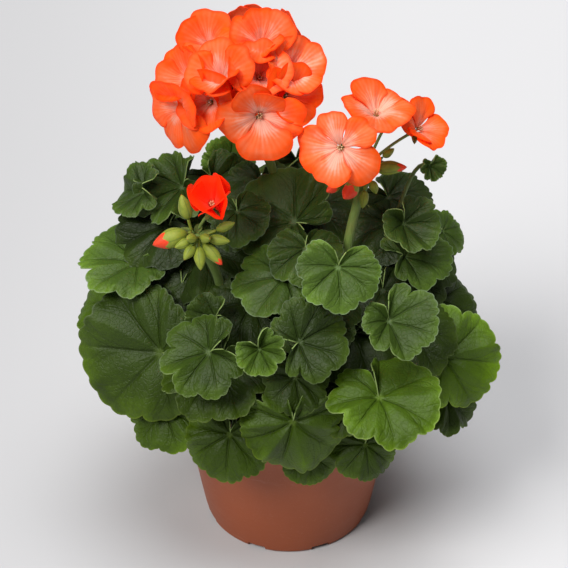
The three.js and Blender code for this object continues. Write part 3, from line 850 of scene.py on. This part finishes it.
def leaf_looks():
    """Upper side, underside, rim and stalk of a leaf."""
    settings = bpy.context.scene.geranium_leaf
    greens = tuple(settings.green), tuple(settings.margin_green)
    return (
        shared_look("leaf_upper", leaf_look, *greens),
        shared_look("leaf_under", leaf_look, *greens, True),
        shared_look("leaf_margin", margin_look),
        shared_look("leaf_stalk", stalk_look, (0.08, 0.14, 0.025), (0.17, 0.25, 0.06),
                    (0.22, 0.11, 0.04), 0.35))


def flower_stalk_look():
    """The green of head stalks, bracts, thin stalks and sepals."""
    return shared_look("flower_stalk", stalk_look, (0.10, 0.175, 0.022), (0.21, 0.31, 0.06),
                       (0.20, 0.13, 0.04), 0.3)


def flower_looks():
    """Front, back and rim of a petal, then the green parts and the anthers."""
    settings = bpy.context.scene.geranium_flower
    corals = tuple(settings.coral), tuple(settings.throat)
    front = shared_look("petal_front", petal_look, *corals)
    return (
        front,
        shared_look("petal_back", petal_look, *corals, True),
        front,
        flower_stalk_look(),
        shared_look("anther", stalk_look, (0.50, 0.30, 0.12), (0.80, 0.55, 0.36),
                    (0.62, 0.20, 0.08), 0.5))


# Leaves


def spike(leaf, place, salt):
    """A repeatable number from 0 to 1 for each place round a leaf."""
    return np.mod(np.sin(place * 12.9898 + leaf.seed * 4.1414 + salt) * 437.585, 1.0)


def blade_outline(u, leaf):
    """Angle from the tip and reach from the hub, in millimetres, for each place round a blade."""
    around = np.unique(np.round(u, 6))
    t = (2 * around - 1) * (math.pi - leaf.gap)
    sector = around * LEAF_LOBES
    nearest = np.rint(sector)
    depth = leaf.notch * (0.05 + 0.15 * spike(leaf, nearest, 0.0) ** 1.5)
    lobe = 1 - depth * (1 - np.abs(np.sin(np.pi * sector)) ** 0.6)
    teeth = np.abs(np.sin(np.pi * sector * 4 + 1.8 * wobble(around, leaf.seed + 50, 9.0))) ** 0.7
    tooth_size = 0.040 + 0.030 * wobble(around, leaf.seed + 90, 14.0)
    back = smoothstep(1.6, math.pi, np.abs(t))
    edge = math.pi - leaf.gap
    corner = smoothstep(edge - 0.50, edge + 0.04, np.abs(t))
    reach = leaf.width * (0.515 + leaf.long * np.cos(t - leaf.lean))
    reach *= (1 - 0.20 * back) * (1 - 0.42 * corner ** 2.2)
    reach *= lobe * (1 + tooth_size * (teeth - 0.6))
    reach *= (1 + 0.05 * wobble(around, leaf.seed + 130, 3.0))
    index = np.searchsorted(around, np.round(u, 6))
    return t[index], reach[index]


def blade_height(u, v, t, reach, leaf):
    """How far the blade rises over its flat plane at each point, in millimetres."""
    width = leaf.width
    sector = u * LEAF_LOBES
    r = v * reach
    phase = leaf.seed * 2.399
    strength = leaf.pleat * (0.040 + 0.060 * spike(leaf, np.floor(sector), 3.0))
    valley = 1 - np.abs(np.cos(np.pi * sector))
    forks = 1 - np.abs(np.cos(2 * np.pi * sector))
    rise = leaf.cup * 1.7 * r * r / width
    rise += 0.20 * math.sin(phase) * r * r * np.cos(2 * t + 1.3 * phase) / width
    rise += leaf.fold * np.abs(r * np.sin(t)) * smoothstep(0.05, 0.5, v)
    rise -= strength * width * v ** 1.15 * valley ** 0.75
    rise -= 0.014 * leaf.pleat * width * forks ** 0.8 * smoothstep(0.45, 0.90, v)
    swell = spike(leaf, np.rint(sector), 6.0) - 0.4
    rise += 0.060 * width * swell * np.abs(np.cos(np.pi * sector)) ** 1.5 * v ** 1.6
    ripple = np.sin(3 * t + phase) + 0.6 * np.sin(5 * t + 2 * phase) + 0.35 * np.sin(8 * t - phase)
    rise += 0.030 * leaf.wave * width * v ** 2.4 * ripple
    flutter = np.sin(14 * t + 3 * phase) + 0.7 * np.sin(23 * t - phase)
    rise += 0.008 * leaf.wave * width * v ** 5 * flutter
    rise -= 0.035 * width * smoothstep(0.80, 1.0, v) ** 1.6
    rise += 0.055 * width * (1 - np.exp(-(v / 0.24) ** 2))
    back = smoothstep(2.0, math.pi, np.abs(t))
    return rise + (0.08 + 0.5 * max(leaf.fold, 0.0)) * width * back * v


def blade_points(leaf, u, v):
    """Places of a blade's points, given how far round and out they are."""
    t, reach = blade_outline(u, leaf)
    rise = blade_height(u, v, t, reach, leaf)
    turned = t * (1 + 0.6 * leaf.gap / (math.pi - leaf.gap) * (1 - v) ** 2)
    turned += 0.10 * np.sin(t + leaf.seed) + 0.06 * np.sin(2 * t + 1.7 * leaf.seed)
    turned += 0.04 * np.sin(3 * t + 2.9 * leaf.seed)
    side, tip, face = facing_frame(leaf.facing, leaf.pitch, leaf.turn)
    r = v * reach
    return (np.array(leaf.hub) + np.outer(r * np.sin(turned), side)
            + np.outer(r * np.cos(turned), tip) + np.outer(rise, face))


def make_blade(leaf, around, outward):
    """A pleated, scalloped blade with a rim and an underside."""
    blade = sheet("blade_" + leaf.name, around, outward)
    u, v = places(blade)
    put(blade, blade_points(leaf, u, 1 - (1 - v) ** 1.15))
    merge_points(blade)
    wear(blade, *leaf_looks())
    thicken(blade, bpy.context.scene.geranium_leaf.thickness)
    # The brightness tag: partly the leaf's own, partly painted shade
    tag(blade, "tone", leaf.tone)
    return blade


def make_stalk(leaf):
    """The stalk that carries a blade from its stem."""
    _, tip, face = facing_frame(leaf.facing, leaf.pitch, leaf.turn)
    end = np.array(leaf.hub) - face * 0.6
    start, rise = leave_stem(STEMS[leaf.stem], leaf.height, end)
    span = np.linalg.norm(end - start)
    near_end = end - face * 0.28 * span - tip * 0.1 * span
    line = curve_points((start, start + rise * 0.35 * span, near_end, end), 14)
    radii = np.linspace(*STALK_RADII, len(line))
    radii[1] = STALK_FOOT_RADIUS
    stalk = rod("stalk_" + leaf.name, line, radii, 8)
    wear(stalk, *leaf_looks())
    use_slot(stalk, STALK_SLOT)
    tag(stalk, "tone", 1.0)
    return stalk


def make_leaf(leaf, around, outward):
    """A blade with its stalk, as one piece."""
    piece = joined([make_blade(leaf, around, outward), make_stalk(leaf)], "blade_" + leaf.name)
    smooth(piece, 75)
    return piece


class GERANIUM_OT_leaves(bpy.types.Operator):
    """Build the large leaves that stand for the CAD leaves"""
    bl_idname = "geranium.leaves"
    bl_label = "Large leaves"

    def execute(self, context):
        settings = context.scene.geranium_leaf
        for leaf in LEAVES:
            piece = make_leaf(leaf, settings.around, settings.outward)
            seat(piece, "leaf", "leaf_" + leaf.name)
        return {"FINISHED"}


class GERANIUM_OT_minor_leaves(bpy.types.Operator):
    """Build the small, young and shaded leaves between the large ones"""
    bl_idname = "geranium.minor_leaves"
    bl_label = "Small and shaded leaves"

    def execute(self, context):
        settings = context.scene.geranium_leaf
        for leaf in MINOR_LEAVES:
            piece = make_leaf(leaf, settings.around * 3 // 5, settings.outward * 4 // 5)
            seat(piece, "leaf")
        return {"FINISHED"}


# Stems and flower stalks


class GERANIUM_OT_stems(bpy.types.Operator):
    """Build the four thick stems"""
    bl_idname = "geranium.stems"
    bl_label = "Stems"

    def execute(self, context):
        look = stalk_look("stem_skin", (0.10, 0.13, 0.045), (0.24, 0.27, 0.10),
                          (0.17, 0.10, 0.05), 0.8)
        for name, stem in STEMS.items():
            top = stem.tip[2] + 1
            heights = np.linspace(SOIL_TOP - 6, top, STEM_RINGS)
            line = np.array([stem_point(stem, max(h, SOIL_TOP)) for h in heights])
            line[:, 2] = heights
            rings = 1 + 0.07 * np.abs(np.sin(heights * 0.28)) ** 8
            taper = np.interp(heights, (SOIL_TOP, top - 5, top), (1.0, 0.85, 0.45))
            piece = rod("branch_" + name, line, STEM_RADIUS * rings * taper, 20, 0.02)
            wear(piece, look)
            smooth(piece)
            seat(piece, "stem", "stem_" + name)
        return {"FINISHED"}


def head_line(head):
    """The route of a flower head's stalk."""
    start, rise = leave_stem(STEMS[head.stem], head.foot[2], np.array(head.bend))
    return spline_points((start, start + rise * 6, head.bend, head.hub), 36)


def make_bract(name, hub, direction, length, width):
    """A small pointed green leaf: a bract of a head or a sepal of a flower."""
    piece = sheet(name, 8, 8)
    u, v = places(piece)
    half = 0.5 * width * np.sin(np.pi * (0.12 + 0.88 * v)) ** 0.7
    along = unit(np.asarray(direction, float))
    side = unit(np.cross(along, (0.1, 0.2, 1.0)))
    out = np.cross(side, along)
    a = 2 * u - 1
    points = (hub + np.outer(v * length, along) + np.outer(a * half, side)
              + np.outer(-0.25 * length * v ** 2 + 0.3 * half * a * a, out))
    put(piece, points)
    merge_points(piece)
    thicken(piece, 0.3 * MM)
    return piece


class GERANIUM_OT_flower_stalks(bpy.types.Operator):
    """Build the three flower head stalks with their bracts"""
    bl_idname = "geranium.flower_stalks"
    bl_label = "Flower head stalks"

    def execute(self, context):
        for name, head in HEADS.items():
            line = head_line(head)
            # The stalk swells at its foot and under the hub
            radii = np.ones(len(line))
            radii[1] = 1.25
            radii[-6:-1] = 1.05, 1.2, 1.4, 1.45, 1.2
            pieces = [rod("head_stalk_" + name, line, HEAD_STALK_RADIUS * radii, 14, 0.01)]
            hub = np.array(head.hub) - (0, 0, 1.5)
            across, back, up = np.eye(3)
            for spoke in spokes(HEAD_BRACTS, math.radians(20), across, back):
                away = spoke + 0.35 * up
                pieces.append(make_bract("bract", hub + 2.2 * unit(away), away, 7, 3.6))
            for piece in pieces:
                wear(piece, flower_stalk_look())
                use_slot(piece, 0)
            piece = joined(pieces, "head_stalk_" + name)
            smooth(piece)
            seat(piece, "stalk", "flower_stalk_" + name)
        return {"FINISHED"}


# Flowers


def petal_points(flower, index, u, v):
    """Places of the points of a fan-shaped petal that leaves the throat steeply and opens out."""
    a = 2 * u - 1
    seed = flower.seed * 7 + index
    upper = index > 2
    closed = flower.up if upper else flower.low
    closed += 0.10 * math.sin(seed * 5.3) * (0.3 + closed)
    length = 0.53 * flower.width * (1 + 0.07 * math.sin(seed * 2.1)) * (0.94 if upper else 1)
    spread = math.radians(41 if upper else 45) * flower.fan
    spread *= (1 + 0.12 * math.sin(flower.seed * 1.7 + index))
    phase = seed * 2.4
    fan = a * spread * (1 - 0.18 * smoothstep(0.10, 0.35, v) + 0.18 * smoothstep(0.35, 0.75, v))
    round_off = 1 - 0.30 * np.abs(a) ** 2.8 - 0.06 * np.exp(-(a / 0.18) ** 2) * math.cos(seed) ** 2
    scallop = 1 + 0.022 * np.sin(4 * a + phase) + 0.012 * np.sin(11 * a + 2 * phase)
    reach = length * v * (1 - v * v * (1 - round_off * scallop))
    x = reach * np.sin(fan)
    y = reach * np.cos(fan)
    first = math.radians(38 - 22 * closed)
    last = math.radians(98 - 88 * closed + 8 * math.sin(seed))
    steps = np.linspace(0, 1, 60)
    tilt = first + (last - first) * np.clip(steps * 1.6, 0, 1) ** 0.8
    tilt += (0.45 * math.cos(phase) + 0.15) * np.clip(steps - 0.6, 0, 1)
    out = np.cumsum(np.sin(tilt)) / 60 * length
    high = np.cumsum(np.cos(tilt)) / 60 * length
    place = np.clip(y / length, 0, 1)
    along = np.interp(place, steps, out)
    lift = np.interp(place, steps, high)
    slope = np.interp(place, steps, tilt)
    bulge = (0.06 + 0.26 * closed) * x * x / length * (1 - 0.3 * v)
    ripple = np.sin(2.3 * a + phase) + 0.6 * np.sin(4.7 * a + 2 * phase)
    bulge += 0.050 * length * ripple * v ** 1.8
    frill = np.sin(9 * a + 1.7 * phase) + 0.6 * np.sin(15 * a - phase)
    bulge += 0.012 * length * frill * v ** 4
    bulge -= 0.060 * length * smoothstep(0.80, 1.0, v) * (1 - closed)
    bulge += 0.15 * x * (1 if index % 2 else -1) + 0.05 * length * index / 4 * v
    bulge += 0.012 * length * np.cos(9 * a + phase) * v * (1 - v) * 4
    turn = math.radians(PETAL_ANGLES[index] + 7 * math.sin(seed * 3.3))
    side, tip, face = facing_frame(flower.facing, flower.pitch, flower.turn)
    radial = math.cos(turn) * tip + math.sin(turn) * side
    across = math.cos(turn) * side - math.sin(turn) * tip
    return (np.array(flower.centre) + np.outer(x, across)
            + np.outer(0.6 + along - bulge * np.cos(slope), radial)
            + np.outer(lift + bulge * np.sin(slope), face))


def make_petal(flower, index, steps):
    """One petal with a back and a rim."""
    petal = sheet("petal", *steps)
    put(petal, petal_points(flower, index, *places(petal)))
    merge_points(petal)
    wear(petal, *flower_looks())
    thicken(petal, bpy.context.scene.geranium_flower.thickness)
    tag(petal, "tone", 1.02 + 0.09 * math.sin(flower.seed * 3.1 + index * 2.3))
    tag(petal, "red", flower.red)
    tag(petal, "pale", flower.pale)
    return petal


def make_greens(flower):
    """Thin stalk to the head's hub, sepals and a few stamens."""
    side, tip, face = facing_frame(flower.facing, flower.pitch, flower.turn)
    throat = np.array(flower.centre, float)
    hub = np.array(HEADS[flower.head].hub)
    middle = (hub + throat) / 2 + (0, 0, 3)
    line = curve_points((hub + unit(throat - hub) * 2, middle, throat - face * 5, throat), 12)
    radii = np.full(len(line), PEDICEL_RADIUS)
    radii[-4:] = (0.9, 1.2, 1.4, 0.0)
    greens = [rod("pedicel", line, radii, 7)]
    for spoke in spokes(SEPALS, math.pi / SEPALS, side, tip):
        foot = throat + 0.8 * spoke - face * 1.6
        greens.append(make_bract("sepal", foot, 0.75 * spoke + 0.45 * face, 7, 2.8))
    for i, spoke in enumerate(spokes(STAMENS, flower.seed, side, tip)):
        top = throat + face * (4.5 + 0.6 * math.sin(3 * i)) + spoke * 1.3
        line = curve_points((throat - face, throat + face * 2 + spoke * 0.3, top), 6)
        greens.append(rod("stamen", line, (0.0, 0.22, 0.2, 0.18, 0.3, 0.42, 0.0), 6))
    for piece in greens:
        wear(piece, *flower_looks())
        use_slot(piece, ANTHER_SLOT if piece.name.startswith("stamen") else STALK_SLOT)
        tag(piece, "tone", 1.0)
    return greens


def make_flower(flower, steps):
    """Five petals and the green parts, as one piece."""
    petals = [make_petal(flower, index, steps) for index in range(len(PETAL_ANGLES))]
    piece = joined(petals + make_greens(flower), "bloom_" + flower.name)
    smooth(piece, 70)
    return piece


class GERANIUM_OT_flowers(bpy.types.Operator):
    """Build the flowers that stand for the CAD flowers, and those behind them"""
    bl_idname = "geranium.flowers"
    bl_label = "Flowers"

    def execute(self, context):
        for flower in FLOWERS:
            seat(make_flower(flower, PETAL_STEPS), "petal", "flower_" + flower.name)
        for flower in MINOR_FLOWERS:
            seat(make_flower(flower, MINOR_PETAL_STEPS), "petal")
        return {"FINISHED"}


# Buds


def make_bud(place, node, length, width, tip):
    """A ribbed spindle on its thin stalk."""
    centre = np.array(place, float)
    along = unit(centre - node)
    v = np.linspace(0, 1, 17)
    body = 0.5 * width * np.sin(np.pi * v ** 0.8) ** 0.75
    line = centre + np.outer((v - 0.5) * length, along)
    bud = rod("bud", line, body, 20, 0.03)
    wear(bud, shared_look("bud_skin", bud_look))
    tag(bud, "tip", tip)
    start = centre - along * 0.42 * length
    middle = (node + start) / 2 + (0, 0, -0.6)
    line = curve_points((node, middle, start), 8)
    stalk = rod("bud_stalk", line, np.full(len(line), BUD_STALK_RADIUS), 7)
    wear(stalk, shared_look("bud_skin", bud_look))
    tag(stalk, "tip", 0.0)
    return [bud, stalk]


class GERANIUM_OT_buds(bpy.types.Operator):
    """Build the groups of buds"""
    bl_idname = "geranium.buds"
    bl_label = "Buds"

    def execute(self, context):
        for name, (head, buds) in BUDS.items():
            hub = np.array(HEADS[head].hub, float)
            middle = np.mean([place for place, *_ in buds], axis=0)
            node = hub + unit(middle - hub) * 2.6
            pieces = []
            for place, length, width, tip in buds:
                pieces += make_bud(place, node, length, width, tip)
            piece = joined(pieces, "cluster_" + name)
            smooth(piece, 70)
            seat(piece, "bud", "buds_" + name)
        return {"FINISHED"}


# Pot and compost


def grow(radius_from, radius_to, rise):
    """Extrudes the selected face upwards by a step and scales it to a new radius."""
    bpy.ops.mesh.extrude_region_move(TRANSFORM_OT_translate={"value": (0, 0, rise * MM)})
    scale = radius_to / radius_from
    bpy.ops.transform.resize(value=(scale, scale, 1))


def wall_radius(height):
    """Outside of the pot's tapered wall at a height."""
    foot = BASE_DIAMETER / 2
    lean = (RIM_DIAMETER / 2 - RIM_BAND_STEP - foot) / (POT_HEIGHT - RIM_BAND_HEIGHT)
    return foot + lean * height


class GERANIUM_OT_pot(bpy.types.Operator):
    """Build the moulded pot with its rim band and drainage notches"""
    bl_idname = "geranium.pot"
    bl_label = "Pot"

    def profile(self):
        """Radius and height round the pot's section, from the underside to the inner floor."""
        rim = RIM_DIAMETER / 2
        band_foot = POT_HEIGHT - RIM_BAND_HEIGHT
        steps = []
        for angle in np.radians(range(0, 91, 15)):
            steps.append((wall_radius(0) - BASE_ROUNDING * (1 - math.sin(angle)),
                          BASE_ROUNDING * (1 - math.cos(angle))))
        for height in (8, 25, 45, 65, band_foot - 0.8):
            steps.append((wall_radius(height), height))
        steps.append((wall_radius(band_foot) + 0.15, band_foot - 0.2))
        for inset, rise in ((0.9, 0.1), (0.35, 0.6), (0.2, 6)):
            steps.append((rim - inset, band_foot + rise))
        half = POT_WALL / 2
        for angle in np.radians(range(0, 181, 30)):
            steps.append((rim - half + half * math.cos(angle),
                          POT_HEIGHT - half + half * math.sin(angle)))
        steps.append((rim - POT_WALL, band_foot + 3))
        for height in (band_foot, POT_FLOOR):
            steps.append((wall_radius(height) - POT_WALL, height))
        return steps

    def execute(self, context):
        steps = self.profile()
        sides = context.scene.geranium_pot.sides
        bpy.ops.object.select_all(action="DESELECT")
        radius, height = steps[0]
        bpy.ops.mesh.primitive_circle_add(vertices=sides, radius=radius * MM, fill_type="NGON")
        pot = context.object
        open_up(pot)
        for next_radius, next_height in steps[1:]:
            grow(radius, next_radius, next_height - height)
            radius, height = next_radius, next_height
        bpy.ops.mesh.select_all(action="SELECT")
        bpy.ops.mesh.normals_make_consistent(inside=False)
        bpy.ops.object.mode_set(mode="OBJECT")
        self.cut_notches(pot)
        pot.name = "nursery_pot"
        wear(pot, pot_look("moulded_pot", tuple(context.scene.geranium_pot.terracotta)))
        smooth(pot, 40)
        seat(pot, "pot", "pot")
        return {"FINISHED"}

    def cut_notches(self, pot):
        """Cuts the drainage notches out of the foot of the wall."""
        cutters = []
        reach = 0.5 * BASE_DIAMETER * MM
        for i in range(NOTCH_COUNT):
            angle = 2 * math.pi * (i + 0.5) / NOTCH_COUNT
            bpy.ops.object.select_all(action="DESELECT")
            bpy.ops.mesh.primitive_cube_add(
                size=1, location=(reach * math.cos(angle), reach * math.sin(angle), 0),
                rotation=(0, 0, angle), scale=[length * MM for length in NOTCH_SIZE])
            bpy.ops.object.transform_apply(location=True, rotation=True, scale=True)
            cutters.append(bpy.context.object)
            open_up(cutters[-1])
            bpy.ops.mesh.bevel(offset=NOTCH_ROUNDING * MM, segments=3)
            bpy.ops.object.mode_set(mode="OBJECT")
        cutter = joined(cutters, "notch_cutter")
        only(pot)
        bpy.ops.object.modifier_add(type="BOOLEAN")
        cut = pot.modifiers[-1]
        cut.operation = "DIFFERENCE"
        cut.solver = "EXACT"
        cut.object = cutter
        bpy.ops.object.modifier_apply(modifier=cut.name)
        bpy.data.objects.remove(cutter)


class GERANIUM_OT_soil(bpy.types.Operator):
    """Build the crumbly compost"""
    bl_idname = "geranium.soil"
    bl_label = "Compost"

    def execute(self, context):
        soil = sheet("compost_fill", 150, 60)
        u, v = places(soil)
        top_radius = wall_radius(SOIL_TOP - 3) - POT_WALL - 0.2
        foot_radius = wall_radius(3) - POT_WALL - 0.2
        radius = np.interp(v, (0, 0.85, 0.95, 1), (0, top_radius, foot_radius, 0))
        height = np.interp(v, (0, 0.5, 0.85, 0.95, 1), (
            SOIL_TOP - 0.5, SOIL_TOP - 1.4, SOIL_TOP - 3, POT_FLOOR + 0.4, POT_FLOOR + 0.4))
        angle = 2 * np.pi * u
        x = radius * np.cos(angle)
        y = radius * np.sin(angle)
        crumbs = np.array([
            noise.noise(Vector((a * 0.25, b * 0.25, 1.0)))
            + 0.5 * noise.noise(Vector((a * 0.8, b * 0.8, 5.0)))
            for a, b in zip(x, y)])
        height += np.where(v < 0.84, 1.1 * crumbs, 0)
        put(soil, np.stack((x, y, height), axis=1))
        merge_points(soil, closed=True)
        wear(soil, soil_look("compost"))
        smooth(soil, 50)
        seat(soil, "soil", "soil")
        return {"FINISHED"}


# Stage


def add_light(name, azimuth, elevation, angle, strength, colour):
    """A soft light from one direction, as wide as the angle in degrees, that lights all evenly."""
    a, e = math.radians(azimuth), math.radians(elevation)
    source = Vector((math.sin(a) * math.cos(e), -math.cos(a) * math.cos(e), math.sin(e)))
    bpy.ops.object.select_all(action="DESELECT")
    bpy.ops.object.light_add(type="SUN", location=source * 2)
    light = bpy.context.object
    light.name = name
    light.data.angle = math.radians(angle)
    light.data.energy = strength
    light.data.color = colour
    light.rotation_euler = source.to_track_quat("Z", "Y").to_euler()


class GERANIUM_OT_stage(bpy.types.Operator):
    """Set the pale floor, the soft lights and the camera"""
    bl_idname = "geranium.stage"
    bl_label = "Studio floor, lights and camera"

    def execute(self, context):
        settings = context.scene.geranium_stage
        bpy.ops.object.select_all(action="DESELECT")
        bpy.ops.mesh.primitive_plane_add(size=14, location=(0, 0, 0))
        floor = context.object
        floor.name = "studio_floor"
        wear(floor, floor_look("studio_floor", tuple(settings.floor)))
        key = settings.key_strength
        add_light("key_softbox", azimuth=-43, elevation=47, angle=24, strength=key,
                  colour=(1.0, 0.985, 0.96))
        add_light("overhead_softbox", azimuth=30, elevation=84, angle=42, strength=1.02 * key,
                  colour=(1.0, 1.0, 1.0))
        world = context.scene.world or bpy.data.worlds.new("studio")
        context.scene.world = world
        world.use_nodes = True
        sky = world.node_tree.nodes["Background"]
        sky.inputs["Color"].default_value = (0.86, 0.88, 0.92, 1.0)
        sky.inputs["Strength"].default_value = 0.10
        context.scene.view_settings.view_transform = "Standard"
        elevation = math.radians(CAMERA_ELEVATION)
        target = Vector(CAMERA_TARGET) * MM
        back = Vector((0, -math.cos(elevation), math.sin(elevation)))
        bpy.ops.object.camera_add(location=target + back * CAMERA_DISTANCE * MM)
        camera = context.object
        camera.rotation_euler = (math.pi / 2 - elevation, 0, 0)
        camera.data.lens = CAMERA_LENS
        camera.data.sensor_width = CAMERA_SENSOR
        camera.data.clip_start = 0.01
        context.scene.camera = camera
        return {"FINISHED"}


class GERANIUM_PT_panel(bpy.types.Panel):
    """Lists the steps in the sidebar"""
    bl_idname = "GERANIUM_PT_panel"
    bl_label = "Geranium"
    bl_space_type = "VIEW_3D"
    bl_region_type = "UI"
    bl_category = "Geranium"

    def draw(self, context):
        for operator in OPERATORS:
            self.layout.operator(operator.bl_idname)
        for settings in SETTINGS:
            group = getattr(context.scene, settings)
            for name in group.bl_rna.properties.keys():
                if name not in ("rna_type", "name"):
                    self.layout.prop(group, name)


OPERATORS = (
    GERANIUM_OT_stage,
    GERANIUM_OT_pot,
    GERANIUM_OT_soil,
    GERANIUM_OT_stems,
    GERANIUM_OT_flower_stalks,
    GERANIUM_OT_leaves,
    GERANIUM_OT_minor_leaves,
    GERANIUM_OT_flowers,
    GERANIUM_OT_buds,
)
SETTINGS = {
    "geranium_leaf": GeraniumLeafSettings,
    "geranium_flower": GeraniumFlowerSettings,
    "geranium_pot": GeraniumPotSettings,
    "geranium_stage": GeraniumStageSettings,
}


def register():
    for group in SETTINGS.values():
        bpy.utils.register_class(group)
    for operator in OPERATORS:
        bpy.utils.register_class(operator)
    bpy.utils.register_class(GERANIUM_PT_panel)
    for name, group in SETTINGS.items():
        setattr(bpy.types.Scene, name, PointerProperty(type=group))


def unregister():
    for name in SETTINGS:
        delattr(bpy.types.Scene, name)
    bpy.utils.unregister_class(GERANIUM_PT_panel)
    for operator in reversed(OPERATORS):
        bpy.utils.unregister_class(operator)
    for group in reversed(SETTINGS.values()):
        bpy.utils.unregister_class(group)


def main():
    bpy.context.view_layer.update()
    register()
    bpy.ops.geranium.stage()
    bpy.ops.geranium.pot()
    bpy.ops.geranium.soil()
    bpy.ops.geranium.stems()
    bpy.ops.geranium.flower_stalks()
    bpy.ops.geranium.leaves()
    bpy.ops.geranium.minor_leaves()
    bpy.ops.geranium.flowers()
    bpy.ops.geranium.buds()
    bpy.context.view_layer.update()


if __name__ == "__main__":
    main()
